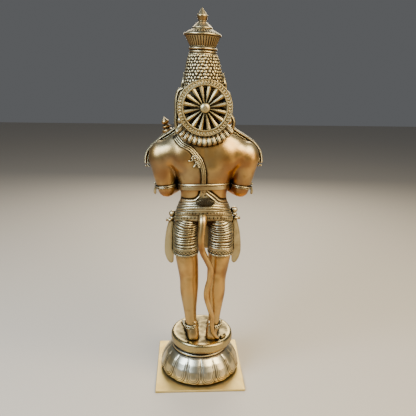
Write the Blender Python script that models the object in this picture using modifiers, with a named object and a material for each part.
"""A standing Hanuman in cast brass, with joined hands, on a lotus pedestal and a square base plate.

Metres, +Z up. The figure faces -Y, its left side is +X, and the origin is under the middle of its
shoulders, on the underside of the base plate. The figure is modelled in millimetres of its own
height: MM below turns them into metres.
"""

import math

import bmesh
import bpy
from mathutils import Matrix, Vector
from mathutils.bvhtree import BVHTree

# Base plate: the square foot of the statue.
PLATE_SIDE = 0.178
PLATE_THICKNESS = 0.0045
PLATE_EDGE = 0.0008

# Lotus pedestal: a ring of drooping petals under a thin collar.
LOTUS_RADIUS = 0.0825
LOTUS_HEIGHT = 0.0615
LOTUS_FOOT_INSET = 0.008
NECK_RADIUS = 0.0545
COLLAR_RADIUS = 0.0585
COLLAR_THICKNESS = 0.0035
PETALS = 16
PETAL_RELIEF = 0.0024

# Round stand that is cast with the figure.
STAND_RADIUS = 0.064
STAND_THICKNESS = 0.021
STAND_EDGE = 0.005

# The figure stands a little off the middle of its base, as the real one does.
BASE_SHIFT = 0.005
SEAT_GAP = 0.0003

# Figure: everything above the soles follows from its height.
FIGURE_HEIGHT = 0.628
MM = FIGURE_HEIGHT / 628

# Wheel behind the head.
WHEEL_RADIUS = 0.0482
WHEEL_RIM_WIDTH = 0.0105
WHEEL_THICKNESS = 0.006
WHEEL_HUB_RADIUS = 0.0096
WHEEL_SPOKES = 16
SPOKE_WIDTH = 0.0066
WHEEL_CENTRE = (1.4, 48.0, 460.2)
WHEEL_SEAT_RADIUS = 8.0

# How finely the fused body is worked, and how many triangles it keeps.
BODY_GRAIN = 2.0
BODY_TRIANGLES = 3000
FIGURE_TRIANGLES = 7600

PLATE_TOP = PLATE_THICKNESS
LOTUS_BOTTOM = PLATE_TOP + SEAT_GAP
STAND_BOTTOM = LOTUS_BOTTOM + LOTUS_HEIGHT + SEAT_GAP
SOLE = STAND_BOTTOM + STAND_THICKNESS

BRASS = (0.60, 0.44, 0.20)
PLATE_BRASS = (0.68, 0.55, 0.30)


def at(x, y, z):
    """A point of the figure, in millimetres from the middle of its soles."""
    return Vector((x * MM, y * MM, SOLE + z * MM))


def brass(name, colour, roughness):
    material = bpy.data.materials.new(name)
    material.use_nodes = True
    shader = material.node_tree.nodes["Principled BSDF"]
    shader.inputs["Base Color"].default_value = (*colour, 1)
    shader.inputs["Metallic"].default_value = 1.0
    shader.inputs["Roughness"].default_value = roughness
    return material


def clear_scene():
    for obj in list(bpy.data.objects):
        bpy.data.objects.remove(obj)


def collection(name, shown=True):
    made = bpy.data.collections.new(name)
    bpy.context.scene.collection.children.link(made)
    made.hide_render = not shown
    return made


def add(name, mesh, into):
    obj = bpy.data.objects.new(name, mesh)
    into.objects.link(obj)
    obj.hide_render = into.hide_render
    if into.hide_render:
        obj.display_type = "WIRE"
    return obj


def loft(name, rings, into):
    """A closed skin over a stack of rings that have the same number of points."""
    bm = bmesh.new()
    rows = [[bm.verts.new(point) for point in ring] for ring in rings]
    for low, high in zip(rows, rows[1:]):
        for i in range(len(low)):
            j = (i + 1) % len(low)
            bm.faces.new((low[i], low[j], high[j], high[i]))
    bm.faces.new(rows[0][::-1])
    bm.faces.new(rows[-1])
    bmesh.ops.recalc_face_normals(bm, faces=bm.faces)
    mesh = bpy.data.meshes.new(name)
    bm.to_mesh(mesh)
    bm.free()
    return add(name, mesh, into)


def oval(z, width, front, back, around, x=0.0, power=2.0, drop=None):
    """A level ring of the figure: half width, and how far it reaches to the front and to the back."""
    middle, depth = (front + back) / 2, (back - front) / 2
    ring = []
    for i in range(around):
        a = 2 * math.pi * i / around
        c, s = math.cos(a), math.sin(a)
        c = math.copysign(abs(c) ** (2 / power), c)
        s = math.copysign(abs(s) ** (2 / power), s)
        fall = drop(a) if drop else 0.0
        ring.append(at(x + width * c, middle + depth * s, z - fall))
    return ring


def smooth_path(stations, steps):
    """Points and radii on a smooth curve through (x, y, z, radius) stations."""
    ends = [stations[0], *stations, stations[-1]]
    path = []
    for k in range(len(stations) - 1):
        p0, p1, p2, p3 = (Vector(ends[k + n]) for n in range(4))
        for i in range(steps):
            t = i / steps
            path.append(0.5 * (2 * p1 + (p2 - p0) * t + (2 * p0 - 5 * p1 + 4 * p2 - p3) * t * t
                               + (3 * p1 - p0 - 3 * p2 + p3) * t ** 3))
    path.append(Vector(stations[-1]))
    return path


def tube(name, stations, into, steps=2, roundness=2, closed=False):
    """A round bar through (x, y, z, radius) stations of the figure, as a closed mesh."""
    curve = bpy.data.curves.new(name, "CURVE")
    curve.dimensions = "3D"
    curve.bevel_depth = MM
    curve.bevel_resolution = roundness
    curve.use_fill_caps = True
    path = smooth_path([(*s[:3], s[3]) for s in stations], steps)
    spline = curve.splines.new("POLY")
    spline.points.add(len(path) - 1)
    spline.use_cyclic_u = closed
    for point, station in zip(spline.points, path):
        point.co = (*at(*station[:3]), 1)
        point.radius = station[3]
    guide = add(name + "_guide", curve, into)
    bpy.context.view_layer.update()
    graph = bpy.context.evaluated_depsgraph_get()
    mesh = bpy.data.meshes.new_from_object(guide.evaluated_get(graph))
    bpy.data.objects.remove(guide)
    bm = bmesh.new()
    bm.from_mesh(mesh)
    bmesh.ops.remove_doubles(bm, verts=bm.verts, dist=0.00001)
    bmesh.ops.recalc_face_normals(bm, faces=bm.faces)
    bm.to_mesh(mesh)
    bm.free()
    return add(name, mesh, into)


def egg(name, centre, radii, into, around=10, rings=6, turn=(0, 0, 0)):
    """An ellipsoid of the figure, turned about its own middle by degrees."""
    bm = bmesh.new()
    bmesh.ops.create_uvsphere(bm, u_segments=around, v_segments=rings, radius=1)
    turned = Matrix.LocRotScale(
        at(*centre),
        Matrix.Rotation(math.radians(turn[2]), 3, "Z") @ Matrix.Rotation(math.radians(turn[1]), 3, "Y")
        @ Matrix.Rotation(math.radians(turn[0]), 3, "X"),
        Vector(radii) * MM,
    )
    bm.transform(turned)
    mesh = bpy.data.meshes.new(name)
    bm.to_mesh(mesh)
    bm.free()
    return add(name, mesh, into)


def turned(name, profile, steps, into):
    """A shape turned about its own Z from (radius, height) points that run top to bottom."""
    mesh = bpy.data.meshes.new(name)
    points = [(radius, 0, height) for radius, height in profile]
    mesh.from_pydata(points, [(i, i + 1) for i in range(len(points) - 1)], [])
    obj = add(name, mesh, into)
    screw = obj.modifiers.new("turn", "SCREW")
    screw.steps = steps
    screw.render_steps = steps
    screw.use_merge_vertices = True
    screw.merge_threshold = 0.00001
    return obj


def settled(obj, into):
    """The object as its modifiers show it, as a plain mesh in world space."""
    bpy.context.view_layer.update()
    graph = bpy.context.evaluated_depsgraph_get()
    mesh = bpy.data.meshes.new_from_object(obj.evaluated_get(graph))
    mesh.transform(obj.matrix_world)
    name = obj.name
    bpy.data.objects.remove(obj)
    return add(name, mesh, into)


def joined(name, parts, into):
    """Several overlapping closed meshes in one object."""
    bm = bmesh.new()
    for part in parts:
        bm.from_mesh(part.data)
        bpy.data.objects.remove(part)
    mesh = bpy.data.meshes.new(name)
    bm.to_mesh(mesh)
    bm.free()
    return add(name, mesh, into)


def union(obj, others):
    modifier = obj.modifiers.new("joined_" + others.name, "BOOLEAN")
    modifier.operation = "UNION"
    modifier.solver = "EXACT"
    modifier.operand_type = "COLLECTION"
    modifier.collection = others


# Torso: height, half width, front and back, in millimetres of the figure.
TORSO = [
    (240, 30, -16, 34), (250, 46, -22, 42), (262, 50, -26, 44), (278, 47, -25, 42), (294, 44, -23, 39),
    (306, 45, -24, 39), (322, 49, -26, 41), (338, 55, -29, 43), (352, 64, -31, 45), (366, 80, -29, 44),
    (380, 88, -27, 43), (392, 84, -24, 41), (402, 73, -21, 38), (411, 58, -19, 35), (419, 43, -17, 32),
    (428, 30, -17, 28), (446, 24, -17, 26),
]

# Limbs of the left side: x, y, z and radius. The right side mirrors them.
UPPER_ARM = [(70, 8, 380, 25), (77, 8, 362, 25), (76, 8, 345, 22), (73, 7, 324, 19.5), (70.5, 5, 308, 17.5)]
FOREARM = [(70.5, 4, 307, 16.5), (56, -14, 311, 16), (36, -36, 325, 13), (15, -54, 341, 9.5)]
HAND = [(11, -57, 344), (8, -60, 356), (7, -63, 372), (5, -66, 388), (3.5, -68, 402)]
HAND_SIZES = [(7, 9), (7, 12), (6, 12), (4.5, 10), (2.5, 4)]
LEG = [
    (28, 12, 268, 25), (33, 13, 235, 23), (32.5, 15, 181, 22.4), (30.7, 16, 161, 21.9), (27.4, 15, 126, 19.4),
    (27.2, 19, 97, 18.3), (25, 22, 57, 13.4), (23, 25, 32, 12), (21.5, 27, 12, 12),
]
FOOT = [(19, 32, 10, 11), (23, 12, 9, 11), (27, -8, 6, 10.5), (30, -22, 4, 9)]
HEEL = [(-3, 11.5, 18, 44), (8, 12, 16, 44.5), (18, 11, 16, 42), (28, 9.5, 16, 38), (36, 9, 16, 36)]
TOES = 5


def mirrored(stations, side):
    return [(side * s[0], *s[1:]) for s in stations]


def hand(side, into):
    """One flat hand of the joined pair, palm against the other at x = 0."""
    rings = []
    for (x, y, z), (thick, wide) in zip(HAND, HAND_SIZES):
        ring = []
        for i in range(10):
            a = 2 * math.pi * i / 10
            ring.append(at(side * (x - 2 + thick * math.cos(a)), y + wide * math.sin(a), z))
        rings.append(ring)
    return loft(f"hand_{side}", rings, into)


def body_parts(into):
    """The bare body as overlapping closed forms, before they are fused."""
    parts = [loft("torso", [oval(*row, 20, power=2.3) for row in TORSO], into)]
    for side in (1, -1):
        parts += [
            egg(f"deltoid_{side}", (side * 77, 8, 369), (27, 27, 31), into, 14, 10),
            egg(f"blade_{side}", (side * 32, 29, 371), (32, 16, 32), into, 14, 10),
            egg(f"shoulder_bridge_{side}", (side * 55, 18, 377), (32, 21, 25), into, 14, 10),
            egg(f"chest_{side}", (side * 24, -20, 366), (26, 15, 21), into, 14, 10),
            egg(f"seat_{side}", (side * 27, 13, 250), (22, 20, 20), into, 14, 10),
            tube(f"upper_arm_{side}", mirrored(UPPER_ARM, side), into, 2, 4),
            tube(f"forearm_{side}", mirrored(FOREARM, side), into, 2, 4),
            egg(f"elbow_{side}", (side * 70.5, 6, 307), (17, 17, 16.5), into, 12, 8),
            hand(side, into),
            tube(f"leg_{side}", mirrored(LEG, side), into, 2, 4),
            tube(f"foot_{side}", mirrored(FOOT, side), into, 2, 3),
            loft(f"heel_{side}", [oval(*row, 12, side * 18.5, 2.6) for row in HEEL], into),
            egg(f"cheek_{side}", (side * 18, -20, 442), (14, 13, 15), into, 12, 8),
            egg(f"ear_{side}", (side * 39, 0, 455), (5, 9, 13), into, 10, 8),
        ]
        for k in range(TOES):
            spread = (k - 2) * 4.4
            reach = 33 - 1.8 * (4 - k)
            parts.append(egg(f"toe_{side}_{k}", (side * (31 - spread), -reach, 3), (2.8, 7, 4.5), into, 8, 6))
    parts += [
        egg("skull", (0, 3, 459), (36, 37, 42), into, 18, 12),
        egg("muzzle", (0, -30, 435), (20, 18, 15), into, 14, 10),
        egg("nose", (0, -37, 447), (8, 11, 7), into, 12, 8),
        egg("brow", (0, -25, 466), (27, 11, 7), into, 14, 8),
        egg("belly", (0, -14, 305), (32, 14, 26), into, 14, 10),
    ]
    return parts


def thinned(obj, triangles, into):
    """The same skin with its flattest edges collapsed until this many triangles are left."""
    bm = bmesh.new()
    bm.from_mesh(obj.data)
    bmesh.ops.triangulate(bm, faces=bm.faces, ngon_method="EAR_CLIP")
    bm.to_mesh(obj.data)
    bm.free()
    obj.data.calc_loop_triangles()
    thin = obj.modifiers.new("thin", "DECIMATE")
    thin.ratio = min(1.0, triangles / len(obj.data.loop_triangles))
    thin.use_collapse_triangulate = True
    return settled(obj, into)


def fused(name, parts, into):
    """The forms melted into one skin, as wax would be, and cut to its share of triangles."""
    obj = joined(name, parts, into)
    melt = obj.modifiers.new("melt", "REMESH")
    melt.mode = "VOXEL"
    melt.voxel_size = BODY_GRAIN * MM
    smooth = obj.modifiers.new("smooth", "SMOOTH")
    smooth.factor = 0.5
    smooth.iterations = 5
    obj = settled(obj, into)
    return thinned(obj, BODY_TRIANGLES, into)


# Shorts: the pleated cloth round each thigh. Height, middle, half width, front, back.
SHORTS_TOP = 268
SHORTS_HEM = 181
SHORTS_FOLDS = 9
SHORTS_AROUND = 14
FOLD_RELIEF = 1.7
HEM_LIP = 2.4


def shorts(side, into):
    """Cloth gathered in level folds that sag at the back, with a rolled hem."""
    rings = []
    count = 2 * SHORTS_FOLDS
    for k in range(count + 1):
        t = k / count
        z = SHORTS_TOP + (SHORTS_HEM + 8 - SHORTS_TOP) * t
        swell = FOLD_RELIEF * (1 if k % 2 else -0.3)
        x = side * (29 + 5.3 * min(1, 2 * t))
        sag = 9 * (1 - t) * max(0.0, 1 - 3 * abs(t - 0.25))

        def drop(a, sag=sag):
            return sag * max(0.0, math.sin(a))

        rings.append(oval(z, 23.4 + swell, -14 - swell, 40 + swell, SHORTS_AROUND, x, 2.2, drop))
    hem = ((SHORTS_HEM + 5, -0.6), (SHORTS_HEM + 3.6, HEM_LIP), (SHORTS_HEM, HEM_LIP), (SHORTS_HEM - 1, -1.2))
    for z, lip in hem:
        rings.append(oval(z, 23.4 + lip, -14 - lip, 39 + lip, SHORTS_AROUND, side * 34.3, 2.2))
    return loft(f"shorts_{side}", rings[::-1], into)


BELT_ROWS = [
    (256, 53.0, 0), (259, 54.5, 1), (263, 54.5, 1), (265, 53.0, 0), (267, 54.0, 1), (271.5, 53.6, 1),
    (273, 51.4, 0), (276, 51.6, 1), (280, 50.4, 1), (281.5, 49.0, 0), (285, 49.0, 1), (289, 47.6, 0.4),
    (292, 45.0, -1),
]
BAND_ROWS = [(312, 46.5, 0), (313.5, 49.4, 0), (321.5, 50.4, 0), (323.5, 48.0, 0)]


def wrapped(name, rows, into, around, front=-26.0, back=45.5):
    """Rows of belts or a band round the waist. Depth follows the width of each row."""
    widest = rows[0][1]
    rings = [
        oval(z, width, front + (widest - width) * 0.9, back - (widest - width) * 0.75, around, 0, 2.2)
        for z, width, _ in rows
    ]
    return loft(name, rings, into)


# Crown: height over the soles, radius, and how deep its flutes are cut.
CROWN = [
    (470, 36.5, 0), (475, 39.5, 0), (481, 39.5, 0), (483, 37.5, 0), (500, 36.5, 0), (524, 32.5, 0),
    (541, 29.0, 0), (552, 24.4, 0), (553.4, 24.8, 0), (555.6, 24.8, 0), (556.8, 22.8, 0), (558, 25.6, 0),
    (561, 25.6, 0), (562.6, 22.8, 0.8), (579.5, 30.4, 1.4), (581, 33.2, 0), (584, 33.4, 0),
    (585.4, 31.0, 1.2), (591.8, 18.8, 0.8), (592.8, 17.8, 0), (594.2, 18.4, 0), (603.5, 8.4, 0),
    (605, 6.9, 0), (614.5, 9.7, 0), (621, 5.2, 0), (628, 0.6, 0),
]
CROWN_AROUND = 24
CROWN_AXIS = (1.8, 3.0)
CROWN_LEAN = 0.028
# The cast top sits a little out of level, lower on the figure's right.
CROWN_TILT = 0.04
CROWN_TILT_FROM = 541
CROWN_TILT_FULL = 558


def crown(into):
    """The tall crown with its two rings, fluted cup, dome and bud, leaning a little to the figure's left."""
    rings = []
    base = CROWN[0][0]
    for z, radius, flute in CROWN:
        share = (z - CROWN_TILT_FROM) / (CROWN_TILT_FULL - CROWN_TILT_FROM)
        tilt = CROWN_TILT * min(1, max(0, share))
        ring = []
        for i in range(CROWN_AROUND):
            a = 2 * math.pi * i / CROWN_AROUND
            r = radius - flute * (i % 2)
            x = r * math.cos(a)
            lean = CROWN_LEAN * (z - base)
            ring.append(at(CROWN_AXIS[0] + lean + x, CROWN_AXIS[1] + r * math.sin(a), z + tilt * x))
        rings.append(ring)
    return loft("crown", rings, into)


def crown_leaf(name, angle, height, into):
    """A pointed plaque that stands against the foot of the crown, facing out at an angle."""
    outline = [(-13, 0), (-14, 0.45), (-9, 0.75), (0, 1.0), (9, 0.75), (14, 0.45), (13, 0)]
    turn = math.radians(angle)
    out = Vector((math.sin(turn), -math.cos(turn)))
    along = Vector((math.cos(turn), math.sin(turn)))
    rings = []
    for thickness in (0.0, 5.0):
        ring = []
        for across, up in outline:
            lift = 36.0 - 5.0 * up + thickness
            x = CROWN_AXIS[0] + out.x * lift + along.x * across
            y = CROWN_AXIS[1] + out.y * lift + along.y * across
            ring.append(at(x, y, 484 + height * up))
        rings.append(ring)
    return loft(name, rings, into)


LOCKS = 13
LOCK_STEP = 8.2


def hair(into):
    """Locks that fan out from under the wheel over the top of the back, and the hair at each side."""
    parts = []
    for k in range(LOCKS):
        a = math.radians((k - (LOCKS - 1) / 2) * LOCK_STEP)
        x, z = math.sin(a), -math.cos(a)
        cx, cy, cz = WHEEL_CENTRE
        rows = [(40, 34, 3.6), (50, 39.5, 4.8), (59, 43.4, 5.1), (67, 44, 4.0)]
        stations = [(cx + r * x, y - 3 * abs(math.sin(a)), cz + r * z, size) for r, y, size in rows]
        parts.append(tube(f"lock_{k}", stations, into, 1, 1))
    for side in (1, -1):
        parts.append(egg(f"side_hair_{side}", (side * 42, 14, 462), (7.5, 10, 26), into, 10, 8))
    return parts


PENDANTS = {
    1: [
        (36, 8, 492, 3.8), (45.5, 6, 489, 3.8), (49.4, 5, 481, 3.8), (51.2, 5, 469, 3.8), (51.6, 5, 450, 3.6),
        (52.4, 5, 433, 3.4), (50, 3, 414, 3.4),
    ],
    -1: [
        (34, 6, 490, 3.6), (40, 5, 478, 3.6), (44, 5, 462, 3.6), (48, 5, 447, 3.4), (54, 5, 433, 3.4),
        (50, 3, 414, 3.4),
    ],
}


def side_pendant(side, into):
    """The long ear pendant that hangs down to the shoulder beside the wheel."""
    return tube(f"pendant_{side}", mirrored(PENDANTS[side], side), into, 1, 1)


SHOULDER_BANDS = {
    1: [(46, 424), (61, 412.5), (79, 401), (94, 388), (103, 377.5), (107, 366.5), (107.6, 354)],
    -1: [(46, 424), (61, 413.5), (76, 404.5), (91, 394.5), (101, 383.5), (106.3, 371), (107.6, 356)],
}
BAND_HALF_WIDTH = 8.0
BAND_HALF_THICKNESS = 5.0
BAND_SECTION = [(-1, -1), (-1, 0.6), (-0.6, 1), (0.6, 1), (1, 0.6), (0.75, 0), (1, -0.5), (0.8, -1)]


def shoulder_band(side, into):
    """The stiff garland that stands up along the shoulder and stops on the upper arm."""
    rings = []
    path = SHOULDER_BANDS[side]
    for k, (x, z) in enumerate(path):
        before = path[max(0, k - 1)]
        after = path[min(len(path) - 1, k + 1)]
        run = Vector((after[0] - before[0], after[1] - before[1])).normalized()
        out = Vector((-run.y, run.x))
        ring = []
        for across, up in BAND_SECTION:
            lift = BAND_HALF_THICKNESS * up
            ring.append(at(side * (x + out.x * lift), across * BAND_HALF_WIDTH - 2, z + out.y * lift))
        rings.append(ring)
    return loft(f"shoulder_band_{side}", rings, into)


SASH = [
    (252, 56, 63, 2.6), (240, 56, 68, 2.8), (222, 57, 72.5, 2.6), (200, 57.5, 75.5, 2.2), (178, 57.5, 76, 2.0),
    (165, 58, 73, 1.8), (157, 58, 69, 1.4), (154, 59, 64, 1.0),
]


def hip_sash(side, into):
    """A knot at the hip with the flat end of the sash hanging from it."""
    rings = []
    for z, near, far, thick in SASH:
        middle = (near + far) / 2
        rings.append([
            at(side * near, 4 - thick, z), at(side * far, 2 - thick, z), at(side * far, 2 + thick, z),
            at(side * middle, 5 + thick, z), at(side * near, 4 + thick, z),
        ])
    return [
        loft(f"sash_{side}", rings, into),
        egg(f"sash_knot_{side}", (side * 60, 5, 261 - side * 4), (7, 7, 6.5), into, 8, 6),
        egg(f"sash_bow_{side}", (side * 64, 5, 247 - side * 2), (6.5, 6, 3.6), into, 8, 6),
    ]


TAIL = [
    (2.5, 36, 262, 8), (3, 49, 257, 8.2), (4.2, 56, 244, 6.6), (6, 60, 217, 6.0), (2.5, 56, 196, 6.0),
    (-7, 53, 176, 5.9), (-13.5, 50, 158, 5.8), (-12.5, 49, 139, 5.6), (-7.5, 49, 118, 5.4), (-6, 49, 101, 5.3),
    (-12, 48, 76, 5.0), (-18, 46, 56, 4.8), (-18.5, 44, 36, 4.6), (-20, 43, 20, 4.4), (-26, 41, 8, 4.2),
    (-34, 39, 2, 3.6),
]


def surface_of(obj):
    """A lookup of the fused body, to lay cords and chains on its skin."""
    bm = bmesh.new()
    bm.from_mesh(obj.data)
    tree = BVHTree.FromBMesh(bm)
    bm.free()
    return tree


def laid(tree, points, facing, radius):
    """Stations of a cord half sunk in the skin, on the back (facing 1) or on the front (facing -1)."""
    stations = []
    for x, z in points:
        start = at(x, facing * 150, z)
        hit = tree.ray_cast(start, Vector((0, -facing, 0)))[0]
        y = hit.y / MM if hit else 0.0
        stations.append((x, y + facing * CORD_RISE * radius, z, radius))
    return stations


CORD_RISE = 0.35
THREAD_BACK = [
    (53, 408), (44, 398), (36, 393), (26.7, 388), (18, 379), (9.9, 369), (5.3, 359), (2.2, 346), (1.5, 322),
]
THREAD_FRONT = [(46, 404), (34, 388), (22, 368), (10, 340), (-6, 318), (-22, 300), (-34, 290)]
NECKLACE = [(-30, 398), (-22, 384), (-10, 376), (0, 373), (10, 376), (22, 384), (30, 398)]


def cords(tree, into):
    """Sacred thread with its knot at the back, and a necklace on the chest."""
    return [
        tube("thread_back", laid(tree, THREAD_BACK, 1, 3.4), into, 1, 1),
        tube("thread_front", laid(tree, THREAD_FRONT, -1, 3.0), into, 1, 1),
        tube("necklace", laid(tree, NECKLACE, -1, 3.6), into, 1, 1),
        egg("thread_knot", (19, 45, 370), (8, 4.5, 4.5), into, 8, 6, (0, 30, 0)),
    ]


def bracelets(into):
    """Armlets, bangles and anklets as plain rings round the limbs."""
    parts = []
    rings = (
        ("armlet", (72.6, 6.6, 313.5), 20.4, (0, 8, 0)),
        ("bangle", (30, -42, 330), 14.5, (40, 42, 0)),
        ("anklet", (23, 26, 29), 14.5, (0, 0, 0)),
    )
    for side in (1, -1):
        for name, centre, radius, turn in rings:
            bm = bmesh.new()
            bmesh.ops.create_cone(bm, cap_ends=True, segments=14, radius1=1, radius2=1, depth=1)
            bm.transform(Matrix.LocRotScale(
                at(side * centre[0], centre[1], centre[2]),
                (Matrix.Rotation(math.radians(side * turn[1]), 3, "Y")
                 @ Matrix.Rotation(math.radians(turn[0]), 3, "X")),
                Vector((radius, radius, 5)) * MM,
            ))
            mesh = bpy.data.meshes.new(name)
            bm.to_mesh(mesh)
            bm.free()
            parts.append(add(f"{name}_{side}", mesh, into))
    return parts


MACE_TIP = Vector((76, -30, 439))
MACE_END = Vector((41, -38, 294))
MACE = [
    (0, 0.5), (8, 7), (12, 6.4), (15.5, 3.5), (17, 7.6), (20, 7.6), (22, 6), (24.5, 10), (28, 10), (37, 17),
    (47, 20),
    (57, 18), (65, 10), (68, 7), (72, 8.5), (76, 5.2), (140, 4.6), (146, 8.0), (152, 3.0),
]


def mace(into):
    """The mace in the crook of the left arm, head up, as a turned shape laid on its slanting axis."""
    axis = (MACE_END - MACE_TIP).normalized()
    side = axis.cross(Vector((0, 1, 0))).normalized()
    depth = axis.cross(side)
    rings = []
    for along, radius in MACE:
        ring = []
        for i in range(12):
            a = 2 * math.pi * i / 12
            ring.append(at(*(MACE_TIP + axis * along + (side * math.cos(a) + depth * math.sin(a)) * radius)))
        rings.append(ring)
    return loft("mace", rings, into)


def apron(into):
    """Pleated cloth that hangs from the belt between the thighs, in front."""
    rows = [(262, 12, -27), (240, 14, -25), (215, 16, -22), (190, 19, -20), (178, 17, -19)]
    rings = []
    for z, half, y in rows:
        ring = [at(x * half / 3, y - (2.2 if i % 2 else 0.2), z) for i, x in enumerate(range(-3, 4))]
        ring += [at(half, y + 8, z), at(-half, y + 8, z)]
        rings.append(ring)
    return loft("apron", rings, into)


def stand(into):
    """The round stand under the feet, with a rounded edge."""
    r, t, e = STAND_RADIUS, STAND_THICKNESS, STAND_EDGE
    profile = [
        (0, t), (r - e, t), (r - 0.3 * e, t - 0.3 * e), (r, t - e),
        (r, e), (r - 0.3 * e, 0.3 * e), (r - e, 0), (0, 0),
    ]
    obj = turned("stand", profile, 32, into)
    obj.location.z = STAND_BOTTOM
    return settled(obj, into)


def wheel_seat(into):
    """A short boss on the back of the head that the wheel is fixed to."""
    cx, cy, cz = WHEEL_CENTRE
    bm = bmesh.new()
    bmesh.ops.create_cone(bm, cap_ends=True, segments=16, radius1=1, radius2=1, depth=1)
    face = cy * MM - SEAT_GAP
    root = 30 * MM
    bm.transform(Matrix.LocRotScale(
        Vector((cx * MM, (face + root) / 2, SOLE + cz * MM)),
        Matrix.Rotation(math.radians(90), 3, "X"),
        Vector((WHEEL_SEAT_RADIUS * MM, WHEEL_SEAT_RADIUS * MM, face - root)),
    ))
    mesh = bpy.data.meshes.new("wheel_seat")
    bm.to_mesh(mesh)
    bm.free()
    return add("wheel_seat", mesh, into)


def make_figure(shown, helpers):
    figure = fused("figure", body_parts(helpers), shown)
    skin = surface_of(figure)
    dress = collection("dress", shown=False)
    for side in (1, -1):
        shorts(side, dress)
        shoulder_band(side, dress)
        side_pendant(side, dress)
        hip_sash(side, dress)
    wrapped("belt", BELT_ROWS, dress, 24)
    wrapped("waist_band", BAND_ROWS, dress, 24, -24.5, 41.5)
    crown(dress)
    crown_leaf("leaf_front", 0, 42, dress)
    for angle in (75, -75):
        crown_leaf(f"leaf_{angle}", angle, 36, dress)
    hair(dress)
    tube("tail", TAIL, dress, 2, 2)
    cords(skin, dress)
    bracelets(dress)
    mace(dress)
    apron(dress)
    stand(dress)
    wheel_seat(dress)
    union(figure, dress)
    figure = thinned(settled(figure, shown), FIGURE_TRIANGLES, shown)
    figure.data.materials.append(brass("antique_brass", BRASS, 0.32))
    return figure


def make_wheel(shown):
    """Rim with two raised edges, hub and spokes, turned in its own plane and stood behind the head."""
    outer, inner = WHEEL_RADIUS, WHEEL_RADIUS - WHEEL_RIM_WIDTH
    t, lip = WHEEL_THICKNESS, 0.0016
    rim = turned("head_wheel", [
        (inner, t), (inner + lip, t), (inner + 1.4 * lip, t - 0.001), (outer - 1.4 * lip, t - 0.001),
        (outer - lip, t),
        (outer, t - 0.0008), (outer, 0), (inner, 0), (inner, t),
    ], 36, shown)
    inside = collection("wheel_inside", shown=False)
    hub = turned("hub", [
        (0, t + 0.003), (0.55 * WHEEL_HUB_RADIUS, t + 0.0022), (WHEEL_HUB_RADIUS, t - 0.0005),
        (WHEEL_HUB_RADIUS, 0), (0, 0),
    ], 16, inside)
    settled(hub, inside)
    for k in range(WHEEL_SPOKES):
        spoke = bpy.data.meshes.new(f"spoke_{k}")
        bm = bmesh.new()
        bmesh.ops.create_cube(bm, size=1)
        start, end = 0.6 * WHEEL_HUB_RADIUS, inner + 0.3 * WHEEL_RIM_WIDTH
        thick = 0.55 * t
        bm.transform(Matrix.Translation(((start + end) / 2, 0, 0.0008 + thick / 2)) @ Matrix.Diagonal(
            (end - start, SPOKE_WIDTH, thick, 1)))
        for vert in bm.verts:
            if vert.co.x < end / 2:
                vert.co.y *= 0.4
            if vert.co.z > thick / 2:
                vert.co.y *= 0.5
        bm.transform(Matrix.Rotation(2 * math.pi * (k + 0.5) / WHEEL_SPOKES, 4, "Z"))
        bm.to_mesh(spoke)
        bm.free()
        add(f"spoke_{k}", spoke, inside)
    union(rim, inside)
    cx, cy, cz = WHEEL_CENTRE
    rim = settled(rim, shown)
    upright = Matrix.Rotation(math.radians(-90), 4, "X")
    rim.matrix_world = Matrix.Translation((cx * MM, cy * MM, SOLE + cz * MM)) @ upright
    rim.data.materials.append(brass("wheel_brass", BRASS, 0.36))
    return rim


def make_lotus(shown):
    """A ring of broad petals that droop over the foot, under a waisted neck and a thin collar."""
    around = 3 * PETALS
    h = LOTUS_HEIGHT
    foot = LOTUS_RADIUS - LOTUS_FOOT_INSET
    rise = LOTUS_RADIUS - NECK_RADIUS
    collar_low = h - 2.4 * COLLAR_THICKNESS
    rows = [
        (0.0, foot, 0.0), (0.05 * h, foot + 0.6 * LOTUS_FOOT_INSET, 0.7), (0.11 * h, LOTUS_RADIUS, 1.0),
        (0.27 * h, NECK_RADIUS + 0.95 * rise, 1.0), (0.47 * h, NECK_RADIUS + 0.78 * rise, 0.9),
        (0.65 * h, NECK_RADIUS + 0.53 * rise, 0.7), (0.79 * h, NECK_RADIUS + 0.23 * rise, 0.4),
        (collar_low - 0.001, NECK_RADIUS, 0.0), (collar_low, COLLAR_RADIUS, 0.0),
        (collar_low + COLLAR_THICKNESS, COLLAR_RADIUS, 0.0),
        (collar_low + COLLAR_THICKNESS + 0.001, NECK_RADIUS, 0.0),
        (h, NECK_RADIUS, 0.0),
    ]
    rings = []
    for z, radius, relief in rows:
        ring = []
        for i in range(around):
            a = 2 * math.pi * i / around
            dip = (1.0, 0.0, 0.0)[i % 3]
            r = radius - PETAL_RELIEF * relief * dip
            ring.append(Vector((BASE_SHIFT * 0.8 + r * math.cos(a), r * math.sin(a), LOTUS_BOTTOM + z)))
        rings.append(ring)
    lotus = loft("lotus_pedestal", rings, shown)
    lotus.data.materials.append(brass("pedestal_brass", BRASS, 0.34))
    return lotus


def make_plate(shown):
    bm = bmesh.new()
    bmesh.ops.create_cube(bm, size=1)
    bm.transform(Matrix.Diagonal((PLATE_SIDE, PLATE_SIDE, PLATE_THICKNESS, 1)))
    mesh = bpy.data.meshes.new("base_plate")
    bm.to_mesh(mesh)
    bm.free()
    plate = add("base_plate", mesh, shown)
    plate.location = (BASE_SHIFT, 0, PLATE_THICKNESS / 2)
    edge = plate.modifiers.new("edge", "BEVEL")
    edge.width = PLATE_EDGE
    edge.segments = 1
    plate.data.materials.append(brass("plate_brass", PLATE_BRASS, 0.28))
    return plate


def main():
    clear_scene()
    shown = collection("hanuman_statue")
    helpers = collection("helpers", shown=False)
    make_figure(shown, helpers)
    make_wheel(shown)
    make_lotus(shown)
    make_plate(shown)


main()
